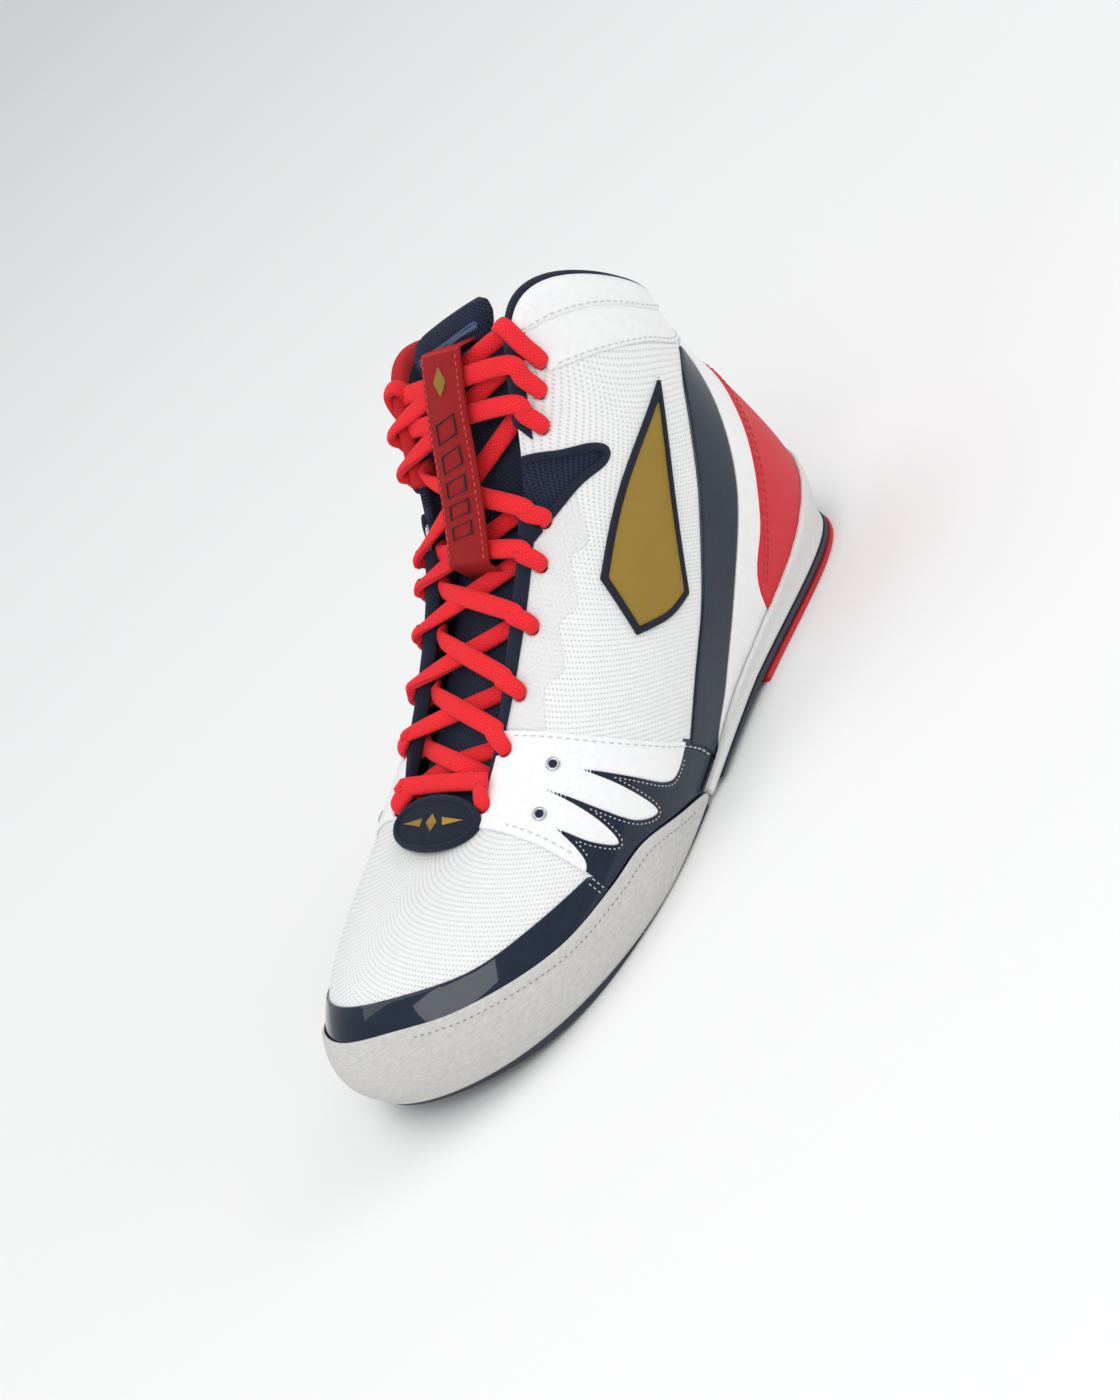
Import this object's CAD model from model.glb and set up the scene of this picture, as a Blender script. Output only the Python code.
"""A high-top boxing boot for the left foot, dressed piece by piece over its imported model: knitted and coated
upper, patent and suede overlays, laced throat with padded tongue, and a split cup sole."""
import math
import bmesh
import bpy
import numpy as np
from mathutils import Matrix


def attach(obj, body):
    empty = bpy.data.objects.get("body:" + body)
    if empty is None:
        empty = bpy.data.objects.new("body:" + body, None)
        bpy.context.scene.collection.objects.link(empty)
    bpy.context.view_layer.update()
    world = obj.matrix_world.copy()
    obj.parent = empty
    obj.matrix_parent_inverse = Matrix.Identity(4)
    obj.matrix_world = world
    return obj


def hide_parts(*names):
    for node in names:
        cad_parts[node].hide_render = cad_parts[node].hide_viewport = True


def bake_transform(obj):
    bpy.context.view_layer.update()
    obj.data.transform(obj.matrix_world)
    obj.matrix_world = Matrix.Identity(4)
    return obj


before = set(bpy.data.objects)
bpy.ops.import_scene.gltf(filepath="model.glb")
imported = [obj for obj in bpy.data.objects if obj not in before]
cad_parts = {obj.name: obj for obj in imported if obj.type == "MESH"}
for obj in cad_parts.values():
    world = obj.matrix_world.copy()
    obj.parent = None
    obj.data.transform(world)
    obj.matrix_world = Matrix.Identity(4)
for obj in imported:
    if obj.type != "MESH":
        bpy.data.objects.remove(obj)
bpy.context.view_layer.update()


# ---------------------------------------------------------------- knitted vamp and quarters
# A white double-knit with a fine open-hole pattern, one layer over the toes and one on each side. It is
# pulled over the last, cut along the vamp seam, the saddle and the ankle notch, and punched for the laces.

# The last is one smooth surface from the sole edge up to the throat and topline, drawn as 19 columns round
# the boot (toe tip, lateral side, heel, medial side) of six points from the sole edge upwards.
COLUMNS = np.array([
    [(-12, -142, 19), (-12, -152, 32), (-11, -142, 50), (-8, -112, 57), (-5, -86, 58), (-4, -71, 60)],
    [(14, -138, 17), (16, -145, 30), (13, -133, 48), (9, -108, 56), (6, -86, 59), (10, -68, 59)],
    [(39, -116, 13), (42, -119, 25), (37, -110, 41), (28, -91, 52), (18, -74, 57), (17, -56, 60)],
    [(50, -80, 9), (54, -79, 20), (50, -75, 35), (40, -64, 51), (27, -52, 60), (17, -35, 68)],
    [(52, -42, 7), (56, -41, 17), (54, -36, 33), (45, -25, 54), (32, -15, 70), (18, -8, 85)],
    [(45, -5, 9), (48, -3, 22), (49, 3, 38), (43, 11, 63), (32, 19, 86), (20, 22, 103)],
    [(36, 35, 11), (39, 37, 24), (42, 41, 48), (40, 47, 75), (34, 50, 103), (24, 48, 127)],
    [(31, 69, 12), (34, 71, 25), (38, 73, 53), (40, 74, 86), (38, 74, 129), (29, 76, 173)],
    [(28, 101, 12), (32, 103, 25), (36, 104, 51), (38, 103, 81), (40, 101, 119), (41, 104, 152)],
    [(21, 131, 13), (24, 138, 26), (24, 138, 48), (24, 133, 80), (29, 127, 105), (35, 124, 124)],
    [(-5, 143, 13), (-5, 153, 26), (-4, 153, 48), (-2, 146, 79), (0, 139, 98), (0, 139, 109)],
    [(-31, 130, 13), (-34, 136, 26), (-32, 137, 48), (-28, 132, 78), (-29, 125, 103), (-33, 123, 120)],
    [(-37, 101, 12), (-41, 103, 25), (-41, 104, 50), (-38, 102, 79), (-38, 99, 117), (-39, 98, 144)],
    [(-36, 69, 12), (-39, 71, 25), (-40, 74, 53), (-39, 73, 84), (-36, 66, 128), (-27, 63, 170)],
    [(-32, 35, 11), (-36, 38, 24), (-40, 42, 47), (-38, 46, 73), (-33, 42, 101), (-21, 31, 122)],
    [(-33, -5, 9), (-37, -3, 22), (-41, 3, 42), (-39, 11, 66), (-31, 15, 88), (-17, 10, 106)],
    [(-45, -45, 7), (-49, -44, 19), (-48, -37, 41), (-41, -26, 62), (-29, -16, 77), (-16, -13, 92)],
    [(-49, -85, 9), (-53, -85, 21), (-49, -79, 42), (-39, -66, 59), (-26, -53, 69), (-16, -42, 77)],
    [(-40, -123, 14), (-43, -126, 26), (-39, -116, 46), (-27, -98, 58), (-17, -78, 63), (-15, -59, 65)],
], float)
AROUND = len(COLUMNS)
OPPOSITE = 20                                 # column u faces column 20 - u across the boot
ORIGIN = np.array([1.9086, 1.9002, 4.0])      # the part's frame in the drawing's millimetres
KNOTS = [0, 0, 0, 0, 1, 2, 3, 3, 3, 3]


def lasted(u, v):
    """Points of the last in millimetres: u runs 0 to 19 round the boot, v 0 to 1 from the sole edge up."""
    u, v = np.broadcast_arrays(np.asarray(u, float), np.asarray(v, float))
    t = np.clip(v, 0, 1 - 1e-9) * KNOTS[-1]
    rise = [((t >= KNOTS[i]) & (t < KNOTS[i + 1])).astype(float) for i in range(9)]
    for degree in (1, 2, 3):
        for i in range(9 - degree):
            left = KNOTS[i + degree] - KNOTS[i]
            right = KNOTS[i + degree + 1] - KNOTS[i + 1]
            climbing = (t - KNOTS[i]) / left * rise[i] if left else 0
            falling = (KNOTS[i + degree + 1] - t) / right * rise[i + 1] if right else 0
            rise[i] = climbing + falling
    base = np.floor(u).astype(int)
    f = u - base
    ring = [(1 - f) ** 3 / 6, (3 * f ** 3 - 6 * f * f + 4) / 6,
            (-3 * f ** 3 + 3 * f * f + 3 * f + 1) / 6, f ** 3 / 6]
    point = np.zeros(u.shape + (3,))
    for k in range(4):
        column = COLUMNS[(base - 1 + k) % AROUND]
        for j in range(6):
            point += (ring[k] * rise[j])[..., None] * column[..., j, :]
    return point


def outward(u, v, level=False):
    """The last's outward direction, kept horizontal where level is set."""
    h = 0.01
    du = lasted(u + h, v) - lasted(np.asarray(u) - h, v)
    dv = lasted(u, np.minimum(np.asarray(v) + h, 1)) - lasted(u, np.maximum(np.asarray(v) - h, 0))
    n = np.cross(du, dv)
    if level:
        n[..., 2] = 0
    return n / np.linalg.norm(n, axis=-1, keepdims=True)


TUCK = 2.6    # below the sole edge a cover turns under the boot round this radius


def upper(u, v, d):
    """A point d off the last. Under v = 0 a cover turns in below the sole edge, by a quarter turn at -0.05."""
    u, v, d = np.broadcast_arrays(np.asarray(u, float), np.asarray(v, float), np.asarray(d, float))
    settle = np.clip(v / 0.08, 0, 1)[..., None]
    n = outward(u, np.maximum(v, 0)) * settle + outward(u, np.zeros_like(v), level=True) * (1 - settle)
    n /= np.linalg.norm(n, axis=-1, keepdims=True)
    turn = np.clip(-v / 0.05, 0, 1.2) * math.pi / 2
    radius = TUCK + d - 1.5
    reach = np.where(v < 0, d - radius * (1 - np.cos(turn)), d)
    point = lasted(u, np.maximum(v, 0)) + n * reach[..., None]
    point[..., 2] -= np.where(v < 0, radius * np.sin(turn), 0)
    return point


def in_frame(points):
    return (np.asarray(points) - ORIGIN) / 1000


def run_length(points):
    """The distance travelled along a line, at each of its points."""
    return np.concatenate([[0], np.cumsum(np.linalg.norm(np.diff(points, axis=0), axis=1))])


# Distances round and up the last, so that cloth patterns keep their size
ROUND_U = np.linspace(0, AROUND, 381)
GIRTH = run_length(lasted(ROUND_U, 0.45))
RISE = np.linalg.norm(np.diff(lasted(ROUND_U[:, None], np.linspace(0, 1, 30)[None]), axis=1), axis=2).sum(1)


def cloth_uv(u, v):
    turns = np.floor(u / AROUND)
    across = np.interp(u - turns * AROUND, ROUND_U, GIRTH) + turns * GIRTH[-1]
    return np.stack([across, v * np.interp(u % AROUND, ROUND_U, RISE)], -1)


def catmull(a, b, c, d, t):
    """A smooth step from b to c, t running 0 to 1, with a and d as their neighbours."""
    bend, twist = 2 * a - 5 * b + 4 * c - d, 3 * b - a - 3 * c + d
    return 0.5 * (2 * b + (c - a) * t + bend * t * t + twist * t ** 3)


def curve_through(points, corners=(), closed=True, steps=8):
    """A smooth outline through hand-set points (Y, Z in millimetres), sharp at the listed corners."""
    p = np.array(points, float)
    n = len(p)
    curve = []
    for i in range(n if closed else n - 1):
        a, b, c, d = p[i - 1], p[i], p[(i + 1) % n], p[(i + 2) % n]
        if (not closed and i == 0) or i in corners:
            a = b
        if (not closed and i == n - 2) or (i + 1) % n in corners:
            d = c
        curve += [catmull(a, b, c, d, t) for t in np.arange(steps) / steps]
    if not closed:
        curve.append(p[-1])
    return np.array(curve)


# A shape is a rule of (point, u, v) that gives the distance inside its edge, and less than nothing outside.
def within(outline):
    """The shape inside an outline seen from the side."""
    a = np.asarray(outline, float)
    b = np.roll(a, -1, 0)
    run = b - a
    square = np.maximum((run ** 2).sum(-1), 1e-9)
    climb = np.where(np.abs(run[:, 1]) < 1e-9, 1e-9, run[:, 1])
    batch = 20000

    def shape(point, u=None, v=None):
        q = point[..., 1:3].reshape(-1, 2)
        distance = np.empty(len(q))
        for first in range(0, len(q), batch):
            w = q[first:first + batch, None]
            t = np.clip(((w - a) * run).sum(-1) / square, 0, 1)
            near = np.sqrt(((w - a - t[..., None] * run) ** 2).sum(-1)).min(1)
            crosses = (a[:, 1] > w[..., 1]) != (b[:, 1] > w[..., 1])
            meets = a[:, 0] + (w[..., 1] - a[:, 1]) * run[:, 0] / climb
            odd = (crosses & (w[..., 0] < meets)).sum(1) % 2 == 1
            distance[first:first + batch] = np.where(odd, near, -near)
        return distance.reshape(point.shape[:-1])

    return shape


def outside(shape, gap=0.0):
    return lambda p, u, v: -shape(p, u, v) - gap


def grown(shape, by):
    return lambda p, u, v: shape(p, u, v) + by


def both(*shapes):
    return lambda p, u, v: np.minimum.reduce([shape(p, u, v) for shape in shapes])


def without(shape, hole, gap=0.0):
    return both(shape, outside(hole, gap))


def ahead_of(y):
    return lambda p, u, v: y - p[..., 1]


def behind(y):
    return lambda p, u, v: p[..., 1] - y


def near_column(middle, reach):
    return lambda p, u, v: reach - np.abs(u - middle)


SIDES = {"lateral": (0.5, 10.0), "medial": (10.0, 19.5)}
FRONT = (-9.0, 10.0)


def new_piece(name, points, faces, material, uv=None, smooth=True):
    """A mesh object from points in the drawing's millimetres."""
    mesh = bpy.data.meshes.new(name)
    mesh.from_pydata(in_frame(points).tolist(), [], faces)
    mesh.materials.append(material)
    if uv is not None:
        layer = mesh.uv_layers.new(name="cloth")
        corner = np.empty(len(mesh.loops), int)
        mesh.loops.foreach_get("vertex_index", corner)
        layer.data.foreach_set("uv", np.asarray(uv, float)[corner].ravel())
    mesh.validate()
    if smooth:
        mesh.shade_smooth()
    piece = bpy.data.objects.new(name, mesh)
    bpy.context.collection.objects.link(piece)
    return piece


def fit(piece, node=None, body="boot", flexes=False):
    """Puts a piece on its body, or lets it bend at the flex line, in place of a plain solid."""
    if flexes:
        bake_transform(piece)
    else:
        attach(piece, body)
    if node:
        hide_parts(node)


def cut_faces(quads, us, vs, ss, edge):
    """Cuts a grid at its shape's edge and at each level of edge inside it; new points join us, vs and ss."""
    corner = np.asarray(ss)[quads]
    whole = corner.min(1) > edge[-1]
    faces = [tuple(q) for q in quads[whole].tolist()]
    made = {}

    def cut(a, b, level):
        key = (min(a, b), max(a, b), level)
        if key not in made:
            t = (level - ss[a]) / (ss[b] - ss[a])
            made[key] = len(us)
            us.append(us[a] + t * (us[b] - us[a]))
            vs.append(vs[a] + t * (vs[b] - vs[a]))
            ss.append(level)
        return made[key]

    def split(poly, level):
        over, rest = [], []
        for a, b in zip(poly, poly[1:] + poly[:1]):
            (over if ss[a] >= level else rest).append(a)
            if (ss[a] >= level) != (ss[b] >= level):
                crossing = cut(a, b, level)
                over.append(crossing)
                rest.append(crossing)
        return over, rest

    for q in quads[(~whole) & (corner.max(1) > 0)].tolist():
        poly, _ = split(q, 0.0)
        for level in edge:
            if len(poly) < 3:
                break
            poly, rest = split(poly, level)
            if len(rest) > 2:
                faces.append(tuple(rest))
        if len(poly) > 2:
            faces.append(tuple(poly))
    return faces


def panel(name, node, span, shape, top, under, material, body="boot", flexes=False,
          rise=(0.0, 1.0), step=1.4, edge=(0.3, 0.9), rim=0.25):
    """A closed sheet on the last, cut to a shape; top and under are its offsets, and its edge is rounded."""
    girth = np.interp(span[1], ROUND_U, GIRTH) - np.interp(span[0], ROUND_U, GIRTH)
    nu = max(8, int(girth / step))
    nv = max(4, int(120 * (rise[1] - rise[0]) / step))
    U, V = np.meshgrid(np.linspace(*span, nu + 1), np.linspace(*rise, nv + 1), indexing="ij")
    us, vs, ss = (list(a.ravel()) for a in (U, V, shape(upper(U, V, 0.0), U, V)))
    ids = np.arange((nu + 1) * (nv + 1)).reshape(nu + 1, nv + 1)
    quads = np.stack([ids[:-1, :-1], ids[1:, :-1], ids[1:, 1:], ids[:-1, 1:]], -1).reshape(-1, 4)
    faces = cut_faces(quads, us, vs, ss, edge)
    used = sorted({i for f in faces for i in f})
    slot = {i: k for k, i in enumerate(used)}
    u, v, s = (np.array([a[i] for i in used]) for a in (us, vs, ss))
    faces = [tuple(slot[i] for i in f) for f in faces]
    high = top(s) if callable(top) else top
    low = under + rim * (high - under)
    round_off = np.sqrt(1 - (1 - np.clip(s / edge[-1], 0, 1)) ** 2)
    points = np.concatenate([upper(u, v, low + (high - low) * round_off), upper(u, v, under)])
    rims = {}
    for f in faces:
        for a, b in zip(f, f[1:] + f[:1]):
            if (b, a) in rims:
                del rims[(b, a)]
            else:
                rims[(a, b)] = True
    n = len(used)
    backs = [tuple(i + n for i in reversed(f)) for f in faces]
    walls = [(b, a, a + n, b + n) for a, b in rims]
    uv = cloth_uv(u, v)
    piece = new_piece(name, points, faces + backs + walls, material, np.concatenate([uv, uv]))
    fit(piece, node, body, flexes)


VAMP_SEAM = -61.0
SADDLE_REAR = curve_through([(-44, 88), (-32, 70), (-22, 53), (-9, 36), (2, 24), (8, 12), (11, -20)],
                            closed=False)
NOTCH = curve_through([(20, 104), (46, 107), (59, 105.5), (63, 107.5), (60, 112), (52, 117.5), (44, 124),
                       (30, 131)], corners=(0, 7))
LACE_U = np.array([2.35, 3.15, 3.75, 4.4, 5.0, 5.42, 6.22, 6.5, 6.76])
LACE_V = 0.955
LACE_HOLES = np.concatenate([lasted(LACE_U, LACE_V), lasted(OPPOSITE - LACE_U, LACE_V)])
HOLE_RADIUS = 2.4


def punched(shape):
    """The shape with the lace holes punched through it."""
    def distance(point, u, v):
        d = shape(point, u, v)
        for hole in LACE_HOLES:
            d = np.minimum(d, np.linalg.norm(point - hole, axis=-1) - HOLE_RADIUS)
        return d
    return distance


class Wire:
    """One output of a shader node. Arithmetic on it adds Math nodes; make() adds any other node."""

    def __init__(self, tree, socket):
        self.tree = tree
        self.socket = socket

    def make(self, kind, out=0, settings=None, **inputs):
        node = self.tree.nodes.new("ShaderNode" + kind)
        for key, value in (settings or {}).items():
            setattr(node, key, value)
        for key, value in inputs.items():
            numbered = key[0] == "i" and key[1:].isdigit()
            socket = node.inputs[int(key[1:]) if numbered else key.replace("_", " ")]
            if isinstance(value, Wire):
                self.tree.links.new(value.socket, socket)
            else:
                socket.default_value = value
        return Wire(self.tree, node.outputs[out])

    def maths(self, operation, *others, clamp=False):
        values = {"i%d" % i: value for i, value in enumerate((self,) + others)}
        return self.make("Math", settings={"operation": operation, "use_clamp": clamp}, **values)

    def __add__(self, other):
        return self.maths("ADD", other)

    def __sub__(self, other):
        return self.maths("SUBTRACT", other)

    def __mul__(self, other):
        return self.maths("MULTIPLY", other)

    def __rsub__(self, other):
        return self * -1.0 + other

    __radd__ = __add__
    __rmul__ = __mul__

    def between(self, low, high):
        return (self - low).maths("MULTIPLY", 1 / (high - low), clamp=True)

    def phase(self, axis, pitch):
        """An angle that makes one turn for every pitch along one axis of a vector."""
        return self.make("SeparateXYZ", out=axis, Vector=self) * (2 * math.pi / pitch)

    def blend_colours(self, dark, light):
        return self.make("Mix", out=2, settings={"data_type": "RGBA"}, i0=self, i6=dark, i7=light)


def finish(name, roughness=0.6, **constants):
    """A material, and its object and cloth coordinates as wires; constants go on the shader's own sockets."""
    material = bpy.data.materials.new(name)
    material.use_nodes = True
    tree = material.node_tree
    shader = tree.nodes["Principled BSDF"]
    shader.inputs["Roughness"].default_value = roughness
    for key, value in constants.items():
        shader.inputs[key.replace("_", " ")].default_value = value
    coordinates = tree.nodes.new("ShaderNodeTexCoord")
    return material, Wire(tree, coordinates.outputs["Object"]), Wire(tree, coordinates.outputs["UV"])


def wear(material, colour=None, roughness=None, height=None, depth=0.0002, strength=1.0):
    """Plugs varying colour, roughness and height into a finish."""
    tree = material.node_tree
    shader = tree.nodes["Principled BSDF"]
    if colour is not None:
        tree.links.new(colour.socket, shader.inputs["Base Color"])
    if roughness is not None:
        tree.links.new(roughness.socket, shader.inputs["Roughness"])
    if height is not None:
        bump = height.make("Bump", Strength=strength, Distance=depth, Height=height)
        tree.links.new(bump.socket, shader.inputs["Normal"])
    return material


white_knit, place, cloth = finish("white open knit", 0.8, Sheen_Weight=0.25, Sheen_Roughness=0.5)
across = cloth.phase(0, 2.5)
cells = across.maths("COSINE") * cloth.phase(1, 2.1).maths("COSINE")
holes = cells.between(0.35, 0.95)
fibres = place.make("TexNoise", Scale=2600.0, Detail=3.0)
ribs = (across * 5.0).maths("SINE") * 0.12 + fibres * 0.25
broad = place.make("TexNoise", Scale=26.0, Detail=2.0)
tone = (holes * 0.8 + broad * 0.2).blend_colours((0.92, 0.92, 0.915, 1), (0.64, 0.645, 0.65, 1))
wear(white_knit, tone, height=ribs - holes, depth=0.00035, strength=0.8)

toe_part = near_column(0.5, 9)
vamp = both(ahead_of(VAMP_SEAM + 0.5), toe_part)
panel("vamp_knit", "vamp_mesh", FRONT, vamp, 0.0, -1.2, white_knit, body="forefoot")
behind_saddle = outside(within(np.concatenate([SADDLE_REAR, [(-140, -20), (-140, 88)]])))
for side, span in SIDES.items():
    quarter = punched(without(both(behind_saddle, behind(-46)), within(NOTCH)))
    panel("quarter_knit_" + side, "quarter_mesh_" + side, span, quarter, 0.0, -1.2, white_knit, flexes=True)


# ---------------------------------------------------------------- linings
# Brushed fleece glued inside the knit, white over the toes and navy in the shaft.
# The same outline as the outer layer, so that both are stitched through at every edge.
def woven(name, light, dark, scale, depth, roughness=0.9, sheen=0.06):
    material, place, _ = finish(name, roughness, Sheen_Weight=sheen, Sheen_Roughness=0.5,
                                Specular_IOR_Level=0.2)
    fibres = place.make("TexNoise", Scale=scale, Detail=4.0, Roughness=0.6)
    patches = place.make("TexNoise", Scale=scale / 40, Detail=2.0)
    colour = (fibres * 0.7 + patches * 0.3).between(0.3, 0.7).blend_colours(dark, light)
    return wear(material, colour, height=fibres, depth=depth)


navy_fleece = woven("navy fleece", (0.020, 0.030, 0.062, 1), (0.006, 0.010, 0.024, 1), 1500.0, 0.0005)
white_fleece = woven("white fleece", (0.78, 0.78, 0.77, 1), (0.62, 0.62, 0.61, 1), 1500.0, 0.0004)
panel("vamp_fleece", "vamp_lining", FRONT, vamp, -1.5, -3.5, white_fleece, body="forefoot", step=3)
for side, span in SIDES.items():
    lining = punched(without(behind(VAMP_SEAM), within(NOTCH)))
    panel("quarter_fleece_" + side, "quarter_lining_" + side, span, lining, -1.5, -3.5, navy_fleece,
          flexes=True, step=2.2)


# ---------------------------------------------------------------- patent toe band
# Glossy navy coated leather, a crescent round the toe between the knit and the suede rand.
# Its lower edge runs under the rand; it meets the saddle at the vamp seam.
RAND_TOP = curve_through([(-170, 44), (-140, 44), (-119, 36), (-88, 28), (-61, 26), (-41, 25), (-21, 17),
                          (-3, 8), (2, 2)], closed=False)
BAND_TOP = curve_through([(-170, 54), (-138, 53), (-127, 49.5), (-108, 41.5), (-87, 37.5), (-59, 33)],
                         closed=False)


def below(line):
    """The shape under a height line that runs along the boot."""
    return within(np.concatenate([line, [(line[-1, 0], -60), (line[0, 0], -60)]]))


patent, place, _ = finish("navy patent", 0.3, Coat_Weight=0.8, Coat_Roughness=0.03, Specular_IOR_Level=0.05)
creases = place.make("TexNoise", Scale=60.0, Detail=3.0)
haze = place.make("TexNoise", Scale=14.0, Detail=2.0)
wear(patent, haze.between(0.3, 0.7).blend_colours((0.003, 0.009, 0.024, 1), (0.005, 0.014, 0.036, 1)),
     roughness=creases * 0.16 + 0.08, height=creases, depth=0.0006, strength=0.25)

under_rand = below(RAND_TOP - [0, 4.0])
toe_band = both(below(BAND_TOP), outside(under_rand), ahead_of(VAMP_SEAM - 0.2), toe_part)
panel("toe_band", "toe_band_patent", FRONT, toe_band, 0.9, 0.12, patent, body="forefoot")


# ---------------------------------------------------------------- saddle and patent fingers
# Smooth white coated microfibre from the laces down to the rand, with three finger-shaped cut-outs.
# Patent shows through the cut-outs, welded from behind; the rear edge laps the quarter and is stitched.
FINGERS = curve_through([
    (-64, 19.5), (-64, 34.2), (-58.6, 37), (-54.5, 48.5), (-52.4, 39), (-47, 31.5), (-44.6, 39), (-44.2, 57),
    (-41, 42), (-36, 30.5), (-27.5, 25.5), (-29, 38), (-33, 53.5), (-25, 40), (-17, 28), (-9, 25),
    (7.5, 28.5), (14, 16), (14, 6), (-3, 6), (-12, 6), (-25, 8), (-41, 12)],
    corners=(0, 1, 3, 7, 12, 16, 17, 18))
SADDLE = np.concatenate([[(VAMP_SEAM - 1.2, -20), (VAMP_SEAM - 1.2, 92), (-44, 92)], SADDLE_REAR + [3.0, 0]])

coated, place, _ = finish("white coated microfibre", 0.42)
pores = place.make("TexNoise", Scale=900.0, Detail=3.0)
grain = place.make("TexVoronoi", Scale=700.0)
cloudy = place.make("TexNoise", Scale=22.0, Detail=2.0)
wear(coated, cloudy.between(0.35, 0.65).blend_colours((0.84, 0.84, 0.84, 1), (0.88, 0.88, 0.88, 1)),
     roughness=pores * 0.25 + 0.34, height=grain * 0.5 + pores * 0.5, depth=0.00009, strength=0.5)

for side, span in SIDES.items():
    cutouts = both(within(FINGERS), lambda p, u, v: 21 - 21 * v)
    saddle = punched(without(within(SADDLE), cutouts))
    panel("saddle_" + side, "saddle_" + side, span, saddle, 1.15, 0.1, coated, flexes=True, step=0.8,
          edge=(0.25, 0.6, 1.0))
    inlay = both(grown(within(FINGERS), 1.2), behind(VAMP_SEAM - 0.4), grown(within(SADDLE), 1.0))
    panel("finger_inlay_" + side, "side_fingers_patent_" + side, span, inlay, 0.45, 0.08, patent, flexes=True)


# ---------------------------------------------------------------- ankle notch
# A wedge of navy stretch mesh let into each quarter at the ankle, so that the shaft folds there.
# The opening is bound with a thick navy welt sewn round its edge.
navy_mesh, place, cloth = finish("navy open mesh", 0.85, Sheen_Weight=0.05, Sheen_Roughness=0.5,
                                 Specular_IOR_Level=0.2)
pits = (cloth.phase(0, 1.9).maths("SINE") * cloth.phase(1, 1.6).maths("SINE")).between(0.1, 0.8)
fuzz = place.make("TexNoise", Scale=2200.0, Detail=3.0)
wear(navy_mesh, pits.blend_colours((0.022, 0.032, 0.070, 1), (0.004, 0.006, 0.014, 1)),
     height=fuzz * 0.3 - pits, depth=0.0006)
navy_welt = woven("navy welt", (0.018, 0.027, 0.060, 1), (0.008, 0.012, 0.030, 1), 2400.0, 0.0003, 0.75)
for side, span in SIDES.items():
    gusset = punched(grown(within(NOTCH), 1.0))
    panel("ankle_gusset_" + side, "ankle_gusset_" + side, span, gusset, -0.7, -3.4, navy_mesh)
    rim = punched(both(grown(within(NOTCH), 1.3), outside(within(NOTCH), -1.5)))
    panel("notch_welt_" + side, None, span, rim, 0.95, -0.75, navy_welt, step=0.8, rim=0.6,
          edge=(0.3, 0.7, 1.3))


# ---------------------------------------------------------------- sweep, strip and heel panel
# Behind each quarter: a patent sweep from the arch up to the collar, a plain white strip, then the red
# heel panel that wraps round the back. Each laps the one in front and is stitched down.
SWEEP_REAR = [(121, 103.5), (120, 91), (112, 75), (93, 54), (63, 34), (36, 20), (12.2, 8), (12.2, -20)]
SWEEP = curve_through([(3.4, 24.6), (26, 35), (51, 47), (78, 68), (95, 85), (108, 97), *SWEEP_REAR,
                       (9.0, -20), (10.2, 12)], corners=(0, 6, 13, 14))
STRIP = np.concatenate([curve_through(SWEEP_REAR, closed=False) + [0.4, 0],
                        [(100, -20), (176, 60), (176, 101.8), (121.8, 102.5)]])
HEEL_FRONT = curve_through([(176, 92), (146, 92), (138, 86), (127, 73), (116, 60), (96, 41), (76, 24),
                            (76, -20)], closed=False)
HEEL_PANEL = np.concatenate([HEEL_FRONT, [(176, -20)]])
red_cloth = woven("red panel cloth", (0.78, 0.020, 0.035, 1), (0.58, 0.010, 0.022, 1), 2600.0, 0.00012,
                  0.6, 0.15)
for side, span in SIDES.items():
    panel("sweep_" + side, "side_sweep_patent_" + side, span, within(SWEEP), 1.0, 0.12, patent)
    strip = without(within(STRIP), within(HEEL_PANEL), gap=-3)
    panel("heel_strip_" + side, "heel_strip_" + side, span, strip, 0.85, 0.12, coated)
BACK = (5.0, 15.0)
heel_panel = both(within(HEEL_PANEL), near_column(10.0, 4.5))
panel("heel_panel_red", "heel_panel", BACK, heel_panel, 1.35, 0.3, red_cloth)


# ---------------------------------------------------------------- collar
# A stitched band round the ankle and the coated panel over it, both wrapping the heel in one piece.
# Thin foam behind them rounds the top edge.
LOWER = curve_through([(50, 142), (62, 141), (75, 136), (90, 128), (106, 117), (122, 104.2), (146, 101.6),
                       (190, 101.6)], closed=False)
HIGHER = curve_through([(50, 160), (60, 158), (71, 154), (85, 149), (100, 139), (117, 122), (130, 113),
                        (146, 109), (190, 109)], closed=False)
behind_laces = both(behind(68.5), near_column(10, 5))
band = punched(both(grown(below(HIGHER), 1.0), outside(below(LOWER)), behind_laces))
panel("collar_band", "collar_band", BACK, band, 0.8, 0.12, coated)
over = punched(both(outside(below(HIGHER)), behind_laces))
panel("collar_panel", "collar_top_panel", BACK, over, 1.5, 0.1, coated)


# ---------------------------------------------------------------- eyestay film
# Clear welded film over the knit beside the laces, with a scalloped edge, holding the row of lace holes.
# It bends with the knit under it where the throat creases.
film, place, _ = finish("clear film", 0.25, Alpha=0.3)
ripples = place.make("TexNoise", Scale=160.0, Detail=2.0)
wear(film, ripples.blend_colours((0.93, 0.93, 0.93, 1), (0.98, 0.98, 0.98, 1)), height=ripples, depth=0.0003,
     strength=0.3)


def on_side(u, side):
    return u if side == "lateral" else OPPOSITE - u


def beside_laces(side):
    """From the scalloped edge up to the throat, between the second and the sixth lace hole."""
    scallop, lowest, middle, reach = 0.62, 0.865, 4.45, 1.45
    edge = lambda p, u, v: (v - lowest + 0.02 * np.cos(on_side(u, side) * 2 * math.pi / scallop)) * 90
    ends = lambda p, u, v: (reach - np.abs(u - on_side(middle, side))) * 25
    return both(edge, ends)


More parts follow.
